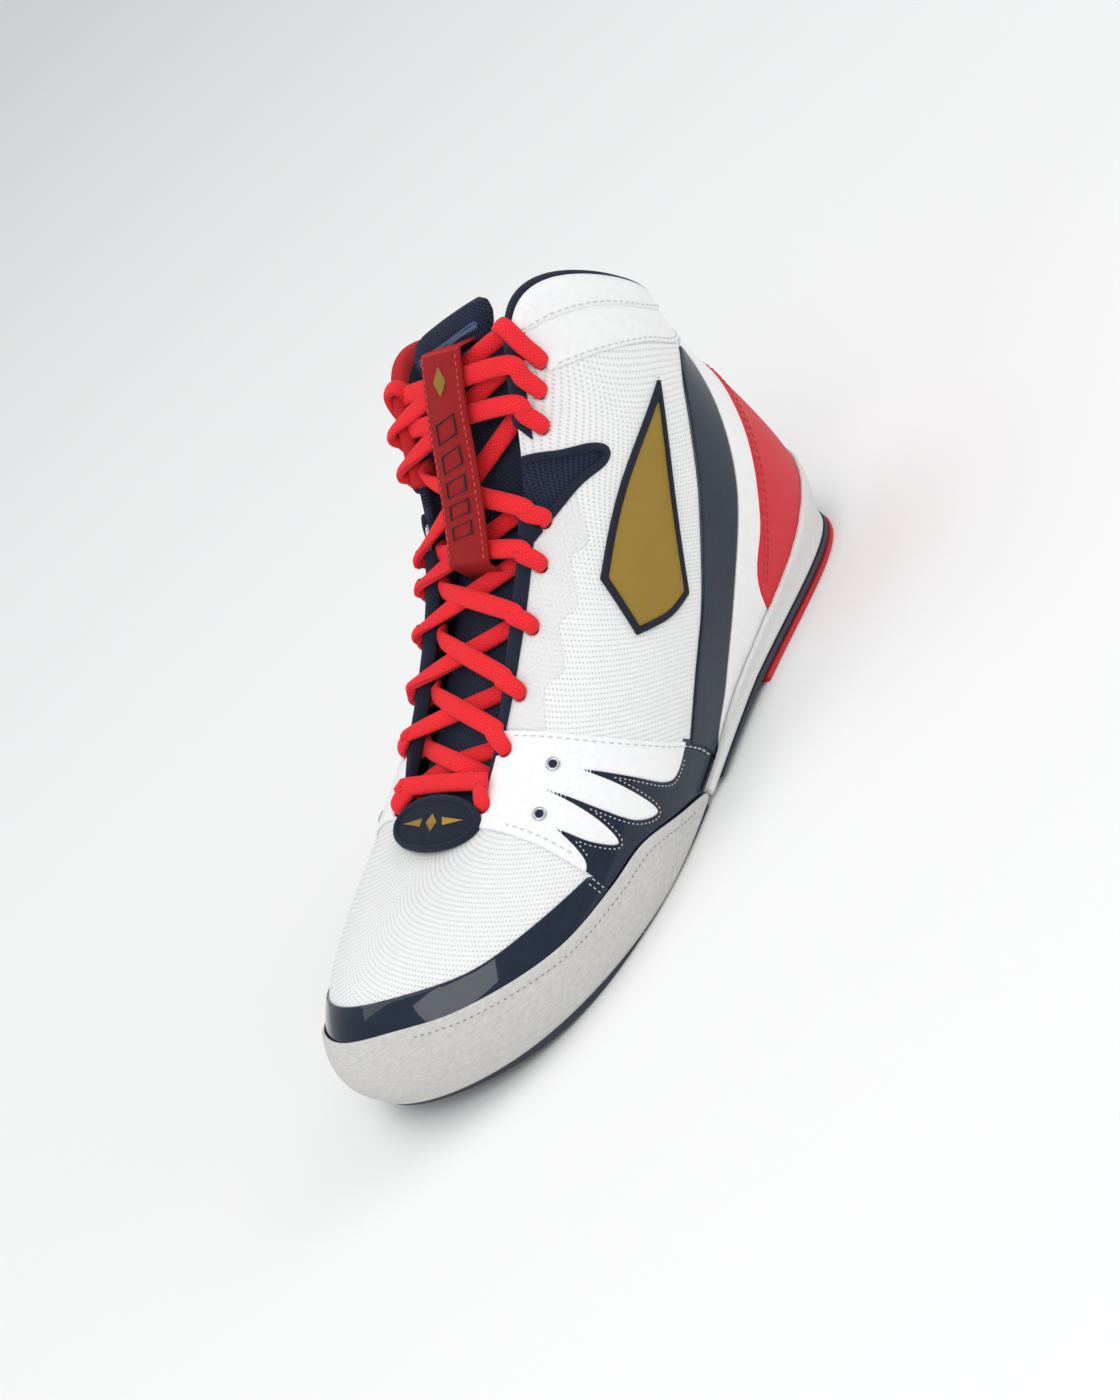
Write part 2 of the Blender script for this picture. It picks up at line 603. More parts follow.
for side, span in SIDES.items():
    clear = without(without(beside_laces(side), within(NOTCH), gap=1.6), within(SADDLE), gap=0.4)
    panel("eyestay_film_" + side, "eyestay_film_" + side, span, punched(clear), 0.6, 0.05, film, flexes=True,
          rise=(0.7, 1.0), step=1.1)


# ---------------------------------------------------------------- kite emblem
# A plain kite in gold satin thread, puffed over foam, inside a raised navy satin-stitched border.
# It is embroidered on a backing that is sewn to each quarter.
KITE = curve_through([(99, 107), (60, 97), (27, 82), (19, 62), (34, 55), (47, 53), (72, 79)],
                     corners=(0, 2, 3, 5))
gold, place, _ = finish("gold satin thread", 0.4, Specular_IOR_Level=0.6)
threads = place.make("TexWave", Scale=520.0, Distortion=1.2, Detail=2.0, settings={"bands_direction": "Z"})
patchy = place.make("TexNoise", Scale=120.0, Detail=2.0)
wear(gold, (threads * 0.6 + patchy * 0.4).blend_colours((0.60, 0.34, 0.030, 1), (0.88, 0.56, 0.060, 1)),
     height=threads, depth=0.0002)
navy_thread, place, _ = finish("navy satin thread", 0.5, Sheen_Weight=0.05, Specular_IOR_Level=0.25)
threads = place.make("TexWave", Scale=620.0, Distortion=0.6, Detail=1.0,
                     settings={"bands_direction": "DIAGONAL"})
wear(navy_thread, threads.blend_colours((0.004, 0.008, 0.022, 1), (0.016, 0.028, 0.070, 1)), height=threads,
     depth=0.0003)


def puffed(s):
    return 0.9 + 0.7 * np.clip(s / 8, 0, 1) ** 0.6


for side, span in SIDES.items():
    panel("emblem_field_" + side, "emblem_field_" + side, span, grown(within(KITE), -1.8), puffed, 0.1, gold,
          step=0.9)
    border = both(within(KITE), outside(within(KITE), -2.5))
    panel("emblem_border_" + side, "emblem_border_" + side, span, border, 1.75, 0.1, navy_thread, step=0.7,
          edge=(0.2, 0.6, 1.2))


# ---------------------------------------------------------------- split sole
# Thin rubber under the toes and the ball, separated at the flex line; a moulded foam cup under the arch and
# heel, standing on a navy rubber plate with a red tread. All are glued to the lasted upper.
def edge_station(y, side="lateral"):
    """The column at which one side's sole edge passes y."""
    u = np.linspace(*SIDES[side], 800)
    if side == "medial":
        u = u[::-1]
    return float(np.interp(y, lasted(u, 0)[:, 1], u))


def ground(y):
    """The underside of the forefoot, which springs up towards the toe."""
    return 4 + 10.5 * np.maximum(0, (-75 - y) / 70) ** 2


def cup_bottom(y):
    return 8.9 - np.clip((50 - y) / 50, 0, 1) * 2.6


def closed_piece(name, points, faces, material, uv=None, smooth=True):
    """A closed shell with its faces turned outwards and its hard corners kept hard."""
    piece = new_piece(name, points, faces, material, uv, smooth)
    work = bmesh.new()
    work.from_mesh(piece.data)
    bmesh.ops.recalc_face_normals(work, faces=work.faces)
    work.to_mesh(piece.data)
    work.free()
    piece.data.set_sharp_from_angle(angle=math.radians(50))
    return piece


def ring_faces(rings, around, closed=False):
    """Quads between rings of points; closed joins the last ring to the first."""
    return [(j * around + i, j * around + (i + 1) % around,
             (j + 1) % rings * around + (i + 1) % around, (j + 1) % rings * around + i)
            for j in range(rings if closed else rings - 1) for i in range(around)]


def ribbon(name, rows, material, uv=None):
    """A closed tube through equally long rows of points, with flat ends."""
    n, m = rows.shape[:2]
    ends = [tuple(range(m - 1, -1, -1)), tuple(range((n - 1) * m, n * m))]
    return closed_piece(name, rows.reshape(-1, 3), ring_faces(n, m) + ends, material, uv)


def spanned(name, rows, material):
    """A piece from profile rows round the sole edge, its first and last rows filled in across the boot."""
    m, count = len(rows), len(rows[0])
    faces = [(i * m + j, i * m + j + 1, (i + 1) * m + j + 1, (i + 1) * m + j)
             for i in range(count - 1) for j in range(m - 1)]
    for i in range(count // 2):
        a, b, c, d = (k * m for k in (i, i + 1, count - 2 - i, count - 1 - i))
        for corners in ((a, b, c, d), (d + m - 1, c + m - 1, b + m - 1, a + m - 1)):
            corners = tuple(dict.fromkeys(corners))
            if len(corners) > 2:
                faces.append(corners)
    faces.append(tuple(range(m - 1, -1, -1)) + tuple((count - 1) * m + j for j in range(m)))
    return closed_piece(name, np.stack(rows, 1).reshape(-1, 3), faces, material)


def sole_piece(name, first, last, profile, material):
    """Sweeps a profile of outsets and height rules, each of (y, edge height), round the sole edge."""
    u = np.linspace(first, last, 2 * (max(20, int(abs(last - first) * 14)) // 2) + 1)
    foot, flat = lasted(u, 0), outward(u, np.zeros_like(u), level=True)
    rows = []
    for outset, height in profile:
        row = foot + flat * outset
        row[:, 2] = height(row[:, 1], foot[:, 2])
        rows.append(row)
    return spanned(name, rows, material)


def off_ground(raised):
    return lambda y, edge: ground(y) + raised


def under_edge(y, edge):
    return edge - 0.4


def level_at(z):
    return lambda y, edge: z + 0 * y


def rubber(name, light, dark):
    material, place, _ = finish(name, 0.7)
    pits = place.make("TexNoise", Scale=1400.0, Detail=3.0)
    ribs = place.make("TexWave", Scale=140.0, settings={"bands_direction": "Y"})
    smudges = place.make("TexNoise", Scale=40.0, Detail=3.0)
    return wear(material, smudges.between(0.3, 0.7).blend_colours(dark, light),
                roughness=smudges * 0.2 + 0.58, height=pits * 0.3 + ribs * 0.25, depth=0.0004, strength=0.6)


navy_rubber = rubber("navy rubber", (0.040, 0.047, 0.068, 1), (0.028, 0.034, 0.052, 1))
red_rubber = rubber("red rubber", (0.62, 0.018, 0.028, 1), (0.50, 0.012, 0.020, 1))
foam, place, _ = finish("white moulded foam", 0.72)
cells = place.make("TexNoise", Scale=1900.0, Detail=3.0)
scuffs = place.make("TexNoise", Scale=34.0, Detail=4.0)
wear(foam, scuffs.between(0.3, 0.75).blend_colours((0.77, 0.77, 0.76, 1), (0.84, 0.84, 0.83, 1)),
     height=cells, depth=0.00015)

LIP = 0.4    # the thin rubber stands this far out past the sole edge
toe_profile = [(LIP - 3.5, off_ground(0)), (LIP - 0.9, off_ground(0)), (LIP - 0.25, off_ground(0.3)),
               (LIP, off_ground(0.9)), (LIP, under_edge), (LIP - 3.5, under_edge)]
toe_ends = (edge_station(-61.6, "medial") - AROUND, edge_station(-61.6))
fit(sole_piece("toe_rubber", *toe_ends, toe_profile, navy_rubber), "toe_outsole", body="forefoot")

ball_rows = []
for y in np.linspace(-60.4, -6.0, 40):
    halves = []
    for side in SIDES:
        u = edge_station(y, side)
        foot, flat = lasted(u, 0), outward(u, 0.0, level=True)
        top = under_edge(y, foot[2])
        half = [(LIP - 4, ground(y)), (LIP - 0.6, ground(y)), (LIP, ground(y) + 0.7), (LIP, top),
                (LIP - 4, top)]
        halves.append([((foot + flat * out)[0], y, z) for out, z in half])
    ball_rows.append(halves[0] + halves[1][::-1])
fit(ribbon("ball_rubber", np.array(ball_rows), navy_rubber), "ball_outsole")

CUP_TOP = curve_through([(-4, 9), (10, 11), (36, 15), (64, 17), (99, 21), (129, 29), (140, 33), (175, 35)],
                        closed=False)


def height_on(u, line):
    """The v at which each column crosses a side-view height line."""
    v = np.linspace(0, 0.6, 200)
    p = lasted(u[:, None], v[None])
    above = p[..., 2] - np.interp(p[..., 1], line[:, 0], line[:, 1])
    return v[np.argmax(above > 0, axis=1)]


cup_u = np.linspace(edge_station(-3.6), edge_station(-3.6, "medial"), 241)
cup_top = np.maximum(height_on(cup_u, CUP_TOP), 0.01)
foot, flat = lasted(cup_u, 0), outward(cup_u, np.zeros_like(cup_u), level=True)
rows = []
for outset, raised in ((-1.0, 0.3), (2.6, 0.3), (3.2, 0.8), (3.35, 1.6)):
    row = foot + flat * outset
    row[:, 2] = cup_bottom(row[:, 1]) + raised
    rows.append(row)
for share, outset in ((0.0, 3.3), (0.25, 3.0), (0.5, 3.0), (0.75, 3.1), (0.92, 3.1), (0.98, 2.8), (1.0, 2.2),
                      (0.98, 1.5), (0.5, 1.4), (0.0, 1.4)):
    rows.append(upper(cup_u, cup_top * share, outset))
rows.append(foot + flat * -1.0 - [0, 0, 0.4])
fit(spanned("midsole_foam", rows, foam), "midsole_cup")

PLATE_BOTTOM = 6.3


def up_plate(share, drop=0.0):
    return lambda y, edge: PLATE_BOTTOM + share * (cup_bottom(y) - PLATE_BOTTOM) - drop


plate_ends = (edge_station(4.5), edge_station(4.5, "medial"))
plate = [(-0.4, up_plate(0)), (2.6, up_plate(0)), (3.5, up_plate(0.25)), (3.8, up_plate(0.6)),
         (3.6, up_plate(1, 0.1)), (-0.4, up_plate(1))]
fit(sole_piece("heel_plate", *plate_ends, plate, navy_rubber), "heel_outsole")
tread_ends = (edge_station(52.5), edge_station(52.5, "medial"))
tread = [(0.0, level_at(4)), (3.4, level_at(4)), (4.1, level_at(4.5)), (4.3, level_at(5.3)),
         (4.0, level_at(6.0)), (0.0, level_at(6.0))]
fit(sole_piece("heel_tread_red", *tread_ends, tread, red_rubber), "heel_tread")


# ---------------------------------------------------------------- footbed
# Inside the boot: a stiff fibre board on the sole edge, which the upper is lasted over, and a loose
# fleece-covered liner on it.
def footbed(name, outset, low, high, material):
    u = np.linspace(0.46, 0.46 + AROUND, 160, endpoint=False)
    foot, flat = lasted(u, 0), outward(u, np.zeros_like(u), level=True)
    rings = [(outset - 1, low), (outset, low + 0.4), (outset, high - 0.5), (outset - 1, high)]
    points = np.concatenate([foot + flat * out + [0, 0, z] for out, z in rings])
    n = len(u)
    faces = ring_faces(len(rings), n)
    for i in range(n // 2):
        a, b, c, d = i, i + 1, n - 1 - i, (n - i) % n
        top = 3 * n
        for corners in ((a, b, c, d), (d + top, c + top, b + top, a + top)):
            corners = tuple(dict.fromkeys(corners))
            if len(corners) > 2:
                faces.append(corners)
    return closed_piece(name, points, faces, material)


board, place, _ = finish("insole board fibre", 0.9)
flecks = place.make("TexNoise", Scale=700.0, Detail=4.0)
wear(board, flecks.blend_colours((0.55, 0.52, 0.46, 1), (0.72, 0.69, 0.62, 1)), height=flecks, depth=0.0001)
fit(footbed("insole_fibre", -5.6, 0.0, 2.0, board), "insole_board", flexes=True)
fit(footbed("sockliner_navy", -6.6, 2.3, 5.8, navy_fleece), "sockliner", flexes=True)


# ---------------------------------------------------------------- suede rand
# A band of pale grey suede round the forefoot, cut in one piece. It laps the toe band above, turns in
# under the sole edge below, and is sewn down close to its upper edge.
suede, place, _ = finish("pale grey suede", 0.95, Sheen_Weight=0.35, Sheen_Roughness=0.6)
nap = place.make("TexNoise", Scale=1700.0, Detail=5.0, Roughness=0.7)
drift = place.make("TexNoise", Scale=55.0, Detail=4.0)
pale = (nap * 0.75 + drift * 0.25).between(0.34, 0.66)
wear(suede, pale.blend_colours((0.46, 0.45, 0.42, 1), (0.90, 0.89, 0.86, 1)), height=nap, depth=0.0005,
     strength=0.7)
rand = both(below(RAND_TOP), near_column(0.5, 7.2))
panel("suede_rand", "toe_rand_suede", FRONT, rand, 2.4, 1.45, suede, flexes=True, rise=(-0.055, 0.42),
      edge=(0.25, 0.6, 1.1))


# ---------------------------------------------------------------- bound edges of the throat and topline
# Navy tape folded over the cut edges of the throat, and padded binding round the topline, red on the inner
# side. Both are sewn through the knit and the lining.
def off_edge(u, k, d):
    """A point d off the last and k past the top edge, or below it where k is negative."""
    v = 1 + np.minimum(k, 0) / np.interp(u % AROUND, ROUND_U, RISE)
    rise = lasted(u, 1.0) - lasted(u, 0.97)
    rise /= np.linalg.norm(rise, axis=-1, keepdims=True)
    return upper(u, v, d) + rise * np.maximum(k, 0)


def bound(name, node, u0, u1, reach, puff, material, flexes=False):
    """Binding folded over the top edge from u0 to u1, reaching down both faces."""
    u = np.linspace(u0, u1, max(40, int(abs(u1 - u0) * 30)))
    profile = [(0.6, -reach), (1.1 + puff * 0.6, -reach * 0.8), (1.2 + puff, -reach * 0.4)]
    for a in np.radians([0, 30, 60, 90, 120, 150, 180]):
        profile.append((-1.25 + (2.5 + puff) * math.cos(a), 0.3 + (1.7 + 0.3 * puff) * math.sin(a)))
    profile += [(-3.7 - puff, -reach * 0.4), (-3.6 - puff * 0.6, -reach * 0.8), (-3.2, -reach),
                (-1.2, -reach + 1.0)]
    rows = np.stack([off_edge(u, k, d) for d, k in profile], 1)
    fit(ribbon(name, rows, material), node, flexes=flexes)


red_binding = woven("red binding tape", (0.76, 0.020, 0.030, 1), (0.52, 0.010, 0.016, 1), 2400.0, 0.0003,
                    0.75)
bound("throat_edge_lateral", "throat_piping_lateral", 1.7, 5.4, 2.6, 0.0, navy_welt, flexes=True)
bound("throat_edge_medial", "throat_piping_medial", 14.6, 18.3, 2.6, 0.0, navy_welt, flexes=True)
bound("collar_edge_lateral", "collar_binding_lateral", 6.05, 9.985, 3.0, 0.25, navy_welt)
bound("collar_edge_medial", "collar_binding_medial", 10.015, 13.95, 1.8, 0.1, red_binding)


# ---------------------------------------------------------------- tongue
# A navy open-mesh tongue lying in the throat, sewn in at the toe end and tucked under both flaps.
# It is open mesh over thin foam, so that it stays flat under the laces.
FLAP_END = 6.4    # past this column the throat runs straight on


def straight_on(u):
    """The last column that a station follows, and how far it lies beyond it."""
    s = np.minimum(u, FLAP_END)
    middle = lambda q: (lasted(q, 1.0) + lasted(OPPOSITE - q, 1.0)) / 2
    step = middle(s + 0.1) - middle(s - 0.1)
    return s, middle(s), step, step * ((u - s) / 0.2)[..., None]


def throat(u):
    """Middle, along, across and out of the throat at a station."""
    s, middle, step, beyond = straight_on(np.asarray(u, float))
    along = step / np.linalg.norm(step, axis=-1, keepdims=True)
    across = lasted(s, 1.0) - lasted(OPPOSITE - s, 1.0)
    across -= along * (across * along).sum(-1, keepdims=True)
    across /= np.linalg.norm(across, axis=-1, keepdims=True)
    return middle + beyond, along, across, -np.cross(along, across)


def tongue_rows(stations, tuck, depth, bulge, thick, count=26, narrow=1.0):
    """Rings round the tongue, its edges tucked in under the flaps and its middle bulging out."""
    s, _, _, beyond = straight_on(stations)
    out = throat(stations)[3]
    lateral, medial = off_edge(s, -tuck, depth), off_edge(OPPOSITE - s, -tuck, depth)
    centre, reach = (lateral + medial) / 2, (lateral - medial) / 2
    rows = []
    for face in (1, -1):
        for w in np.linspace(-1, 1, count) * face:
            lift = bulge * (1 - w * w) + face * thick / 2 * (1 - abs(w) ** 6) ** 0.5
            rows.append(centre + reach * (w * narrow)[..., None] + out * lift[..., None] + beyond)
    return np.stack(rows, 1)


def sleeve_uv(girth, length):
    """Cloth coordinates of rows of points: girth round each row, length along them."""
    return np.stack(np.broadcast_arrays(girth[None], length[:, None]), -1).reshape(-1, 2)


rows = tongue_rows(np.linspace(2.1, 6.80, 120), 5.0, -8.0, 3.6, 3.0)
uv = sleeve_uv(np.linspace(0, 104, rows.shape[1]), run_length(rows[:, 13]))
fit(ribbon("tongue_mesh", rows, navy_mesh, uv), "tongue", flexes=True)


# ---------------------------------------------------------------- tongue cap
# The padded roll at the top of the tongue: navy knit over a foam roll, pinched where it is sewn on.
# It folds forward on its own seam.
cap_u = np.concatenate([np.linspace(6.78, 6.86, 8), np.linspace(6.87, 7.03, 24),
                        np.linspace(7.035, 7.07, 10)])
swell = np.interp(cap_u, [6.78, 6.82, 6.86, 6.92, 6.98, 7.03, 7.055, 7.07],
                  [2.8, 4.8, 6.8, 8.2, 8.2, 6.8, 4.2, 1.0])
narrow = np.interp(cap_u, [6.78, 6.85, 6.94, 7.02, 7.07], [0.86, 0.93, 0.94, 0.88, 0.70])
rows = tongue_rows(cap_u, 0.0, -9.0, 1.6, swell, count=34, narrow=narrow)
ripple = np.sin(np.linspace(0, 9 * math.pi, rows.shape[1]))
fade = np.sin(np.linspace(0, math.pi, len(cap_u)))
rows += throat(cap_u)[3][:, None] * (0.28 * ripple[None] * fade[:, None])[..., None]
uv = sleeve_uv(np.linspace(0, 96, rows.shape[1]), np.linspace(0, 14, len(cap_u)))
cap = ribbon("tongue_cap_padded", rows, navy_mesh, uv)
cap_seam = rows[8, 4:30]
fit(cap, "tongue_cap", body="tongue_top")


# ---------------------------------------------------------------- laces
# One flat-oval braided lace. It runs over each flap, down its hole, back under the flap and up across the
# tongue to the next hole on the other side; a straight bar joins the two lowest holes.
def beside(u, k, d):
    """A point d off the last and k from a lace hole towards the throat edge."""
    return upper(u, LACE_V + k / float(np.interp(u % AROUND, ROUND_U, RISE)), d)


def unit(vector):
    return vector / np.linalg.norm(vector, axis=-1, keepdims=True)


def hole_column(i, side):
    return LACE_U[i] if side > 0 else OPPOSITE - LACE_U[i]


def strand(first):
    """Stations (point, face, width, thickness) of the half whose lowest hole is on side first, 1 or -1."""
    side, points, top = first, [], len(LACE_U) - 1
    for i in range(top + 1):
        u = hole_column(i, side)
        n = outward(u, LACE_V)
        away = -unit(lasted(u, 1.0) - lasted(u, 0.97))
        ahead = (LACE_U[min(i + 1, top)] - LACE_U[min(i, top - 1)]) * side
        hole = [(beside(u + 0.03 * ahead, 0.4, 2.2), n * 0.7 + away * 0.7, 6.0, 3.5),
                (beside(u, 0.0, -0.8), away, 4.6, 3.4),
                (beside(u, 0.8, -4.2), away * 0.8 - n * 0.6, 4.8, 2.6)]
        under = (beside(u + 0.04 * ahead, 4.2, -5.6), -n, 6.0, 2.2)
        if i == 0:
            points += hole + [under, (off_edge(u + 0.1 * ahead, 2.0, -5.2), -n, 6.4, 2.6)]
        else:
            # up through the hole and back over the flap, which turns the tape over
            over = [(beside(u - 0.05 * ahead, 4.0, 2.8), n, 6.6, 3.1),
                    (off_edge(u - 0.04 * ahead, 1.6, 2.3), n, 6.7, 3.1)]
            flip = 1 if i % 2 else -1
            points += [(p, face * flip, w, h) for p, face, w, h in [under] + hole[::-1] + over]
        if i < top:
            side = -side
            following = hole_column(i + 1, side)
            far = off_edge(following - 0.2 * (LACE_U[i + 1] - LACE_U[i]) * side, 2.0, -5.2)
            out = throat((LACE_U[i] + LACE_U[i + 1]) / 2)[3]
            if i == 0:
                lift = 6.6 if first > 0 else 3.8
            else:
                lift = 2.8 if side < 0 else 0.1
            near, face = points[-1][0], np.sign(points[-1][1] @ out)
            points += [((near + far) * 0.5 + out * lift, out * face, 6.7, 3.1),
                       (far, outward(following, 1.0) * face, 6.2, 2.6)]
    flip = np.sign(points[-1][1] @ n)
    points[-1] = (off_edge(u, 2.6, 1.6), (n - away) * flip, 6.6, 3.1)
    points += [(off_edge(u, 3.0, -3.5), -away * flip, 6.4, 3.0),
               (off_edge(u, -5.0, -7.0), -n * flip, 6.2, 2.8)]
    return points


def smooth_through(values, steps):
    """A smooth line through every one of the given points."""
    p = np.concatenate([[2 * values[0] - values[1]], values, [2 * values[-1] - values[-2]]])
    t = (np.arange(steps) / steps)[None, :, None]
    line = catmull(p[:-3, None], p[1:-2, None], p[2:-1, None], p[3:, None], t)
    return np.concatenate([line.reshape(-1, p.shape[1]), p[-2:-1]])


def tape(name, stations, material, steps=8, sides=14):
    """A flat-oval braid swept along (point, face, width, thickness) stations."""
    data = smooth_through(np.array([np.concatenate([p, unit(n), [w, h]]) for p, n, w, h in stations]), steps)
    place, face, wide, high = data[:, :3], data[:, 3:6], data[:, 6], data[:, 7]
    ahead = unit(np.gradient(place, axis=0))
    face = unit(face - ahead * (face * ahead).sum(1, keepdims=True))
    side = np.cross(ahead, face)
    a = np.linspace(0, 2 * math.pi, sides, endpoint=False)
    oval = np.sign(np.sin(a)) * np.abs(np.sin(a)) ** 0.8
    rows = (place[:, None] + side[:, None] * (np.cos(a)[None, :, None] * wide[:, None, None] / 2)
            + face[:, None] * (oval[None, :, None] * high[:, None, None] / 2))
    return ribbon(name, rows, material, sleeve_uv(a / (2 * math.pi), run_length(place)))


braid, place, cloth = finish("red braided lace", 0.78, Sheen_Weight=0.08, Sheen_Roughness=0.45,
                             Specular_IOR_Level=0.25)
BRAID_TURNS = 14
turn = cloth.make("SeparateXYZ", Vector=cloth).maths("PINGPONG", 0.5) * (2 * math.pi * BRAID_TURNS)
run = cloth.phase(1, 1.5)
weave = (turn + run).maths("SINE").maths("MAXIMUM", (turn - run).maths("SINE"))
yarns = place.make("TexNoise", Scale=2400.0, Detail=3.0)
strands = (weave * 0.5 + 0.5) * 0.8 + yarns * 0.2
wear(braid, strands.between(0.1, 0.9).blend_colours((0.72, 0.010, 0.018, 1), (0.90, 0.024, 0.034, 1)),
     height=strands, depth=0.0003, strength=0.8)
bar = []
for side in (-1, 1):
    u = hole_column(0, side)
    face = outward(u, 1.0)
    ends = [(beside(u, 4.0, 3.4), face, 6.7, 3.2), (off_edge(u, 1.6, 3.8), face, 6.7, 3.2)]
    bar += ends[::-side]
fit(tape("lace_braid", strand(-1)[::-1] + bar + strand(1), braid), "lace", flexes=True)


# ---------------------------------------------------------------- lace keeper strap
# Red coated webbing sewn to the tongue under the cap and above the fourth row, arched over the laces.
# Its edge is stitched all round; a small gold diamond and a row of slanted navy outlines decorate it.
def strap_frame(t):
    """Centre, along, across and out of the strap at t, which runs 0 to 1 from its lower to its upper end."""
    middle, along, across, out = throat(4.92 + 1.99 * t)
    arch = np.sin(math.pi * t)
    lift = -8.0 + 14 * np.minimum(1, 9 * arch) ** 0.8 + 3.6 * arch
    lift = np.maximum(lift, np.where(t > 0.5, -3.4, -8.0))
    return middle + out * lift[..., None] + across * 2.6, along, across, out


def on_strap(t, s, h=0.0):
    """Points of the strap's face: t along it, s across it in millimetres, h above it."""
    centre, _, across, out = strap_frame(t)
    crown = 1.1 * (s / 8.5) ** 2
    return centre + across * np.asarray(s)[..., None] + out * np.asarray(2.0 - crown + h)[..., None]


STRAP_SECTION = [(-8.5, -0.55), (-8.1, -0.1), (-6, 0), (-3, 0), (0, 0), (3, 0), (6, 0), (8.1, -0.1),
                 (8.5, -0.55), (8.5, -1.35), (8.1, -1.8), (4, -1.8), (0, -1.8), (-4, -1.8), (-8.1, -1.8),
                 (-8.5, -1.35)]
webbing, place, _ = finish("red coated webbing", 0.5, Specular_IOR_Level=0.3)
weft = place.make("TexWave", Scale=330.0, Distortion=0.3, settings={"bands_direction": "Z"})
blotch = place.make("TexNoise", Scale=90.0, Detail=3.0)
wear(webbing, (weft * 0.4 + blotch * 0.6).blend_colours((0.66, 0.018, 0.022, 1), (0.86, 0.035, 0.036, 1)),
     height=weft, depth=0.00015)
rows = np.stack([on_strap(np.linspace(0, 1, 90), s, h) for s, h in STRAP_SECTION], 1)
fit(ribbon("keeper_strap", rows, webbing), "lace_strap")


def raised_mark(name, low, high, material, body="boot"):
    """A thin flat-sided shape between its lower and its upper outline."""
    n = len(low)
    faces = [tuple(range(n)), tuple(range(2 * n - 1, n - 1, -1))]
    faces += [(i, (i + 1) % n, (i + 1) % n + n, i + n) for i in range(n)]
    fit(closed_piece(name, np.concatenate([low, high]), faces, material, smooth=False), body=body)


t, s = np.array([(0.80, 0), (0.855, 2.6), (0.91, 0), (0.855, -2.6)], float).T
raised_mark("strap_diamond", on_strap(t, s, -0.15), on_strap(t, s, 0.35), gold)

STRAP_RUN = 97.5    # millimetres for t from 0 to 1


def strap_outline(name, start, material, long=0.075, lean=0.03, half=4.3, line=0.55):
    """A slanted frame of thin line, raised on the strap: an outer and an inner ring of corners."""
    corners = []
    for inset in (0, line):
        dt, reach = inset / STRAP_RUN, half - inset
        corners += [(start + dt, -reach), (start + long - dt, -reach), (start + long + lean - dt, reach),
                    (start + lean + dt, reach)]
    t, s = np.array(corners).T
    faces = []
    for i in range(4):
        k = (i + 1) % 4
        faces += [(8 + i, 8 + k, 12 + k, 12 + i), (i, 4 + i, 4 + k, k), (i, k, 8 + k, 8 + i),
                  (4 + k, 4 + i, 12 + i, 12 + k)]
    points = np.concatenate([on_strap(t, s, -0.2), on_strap(t, s, 0.3)])
    fit(closed_piece(name, points, faces, material, smooth=False))


for k in range(5):
    strap_outline("strap_outline_%d" % (k + 1), 0.17 + 0.115 * k, navy_thread)


# ---------------------------------------------------------------- throat badge
# An oval navy patch closing the foot of the throat, bound with a thick welt, with three plain gold marks.
# It is sewn to the vamp and the saddle.
BADGE_LONG = 17
BADGE_SHORT = 8.7
origin, along, across, out = throat(2.1)
origin = origin - along * 8 + out * 3.4


def on_badge(x, y, h):
    x, y, h = np.broadcast_arrays(x, y, h)
    return origin + across * x[..., None] + along * y[..., None] + out * (h - 0.006 * x ** 2)[..., None]


turns = np.linspace(0, 2 * math.pi, 72, endpoint=False)
rings = [(0.02, 2.7), (0.3, 2.65), (0.6, 2.5), (0.85, 2.3), (1.0, 2.1), (1.0, 0.2), (0.5, 0.1), (0.02, 0.1)]
points = [on_badge(BADGE_LONG * r * np.cos(turns), BADGE_SHORT * r * np.sin(turns), h) for r, h in rings]
n = len(turns)
ends = [tuple(range(n)), tuple(range(len(rings) * n - 1, (len(rings) - 1) * n - 1, -1))]
faces = ring_faces(len(rings), n) + ends
patch = closed_piece("badge_patch", np.concatenate(points), faces, navy_fleece)
fit(patch, "throat_badge", body="forefoot")

points = []
for b in np.linspace(0, 2 * math.pi, 12, endpoint=False):
    out_by = 1.3 * math.cos(b)
    points.append(on_badge((BADGE_LONG + out_by) * np.cos(turns), (BADGE_SHORT + out_by) * np.sin(turns),
                           1.6 + 1.5 * math.sin(b)))
welt = closed_piece("badge_welt", np.concatenate(points), ring_faces(12, n, closed=True), navy_welt)
fit(welt, body="forefoot")

BADGE_MARKS = {
    "middle": [(0, 3.0), (2.2, 0), (0, -3.0), (-2.2, 0)],
    "outer": [(4.2, 1.6), (12.5, 0.4), (4.8, -1.2)],
    "inner": [(-4.2, 1.6), (-4.8, -1.2), (-12.5, 0.4)],
}
for name, outline in BADGE_MARKS.items():
    x, y = np.array(outline, float).T
    raised_mark("badge_mark_" + name, on_badge(x, y, 2.2), on_badge(x, y, 2.95), gold, body="forefoot")


# ---------------------------------------------------------------- vent eyelets
# Two small pressed metal eyelets in each saddle, with dark mesh behind.
# Each is clenched through the microfibre from the outside.
steel, place, _ = finish("eyelet steel", 0.3, Metallic=1.0)
brushed = place.make("TexNoise", Scale=900.0, Detail=3.0)
wear(steel, brushed.blend_colours((0.42, 0.43, 0.45, 1), (0.62, 0.63, 0.65, 1)),
     roughness=brushed * 0.2 + 0.22)
VENTS = ((3.6, 0.76), (3.2, 0.70))
VENT_RING = [(1.35, 0.0), (2.3, 0.0), (2.45, 0.25), (2.3, 0.55), (1.9, 0.72), (1.5, 0.6), (1.3, 0.2)]
VENT_MESH = [(0.02, 0.05), (1.34, 0.05), (1.34, 0.16), (0.02, 0.14)]


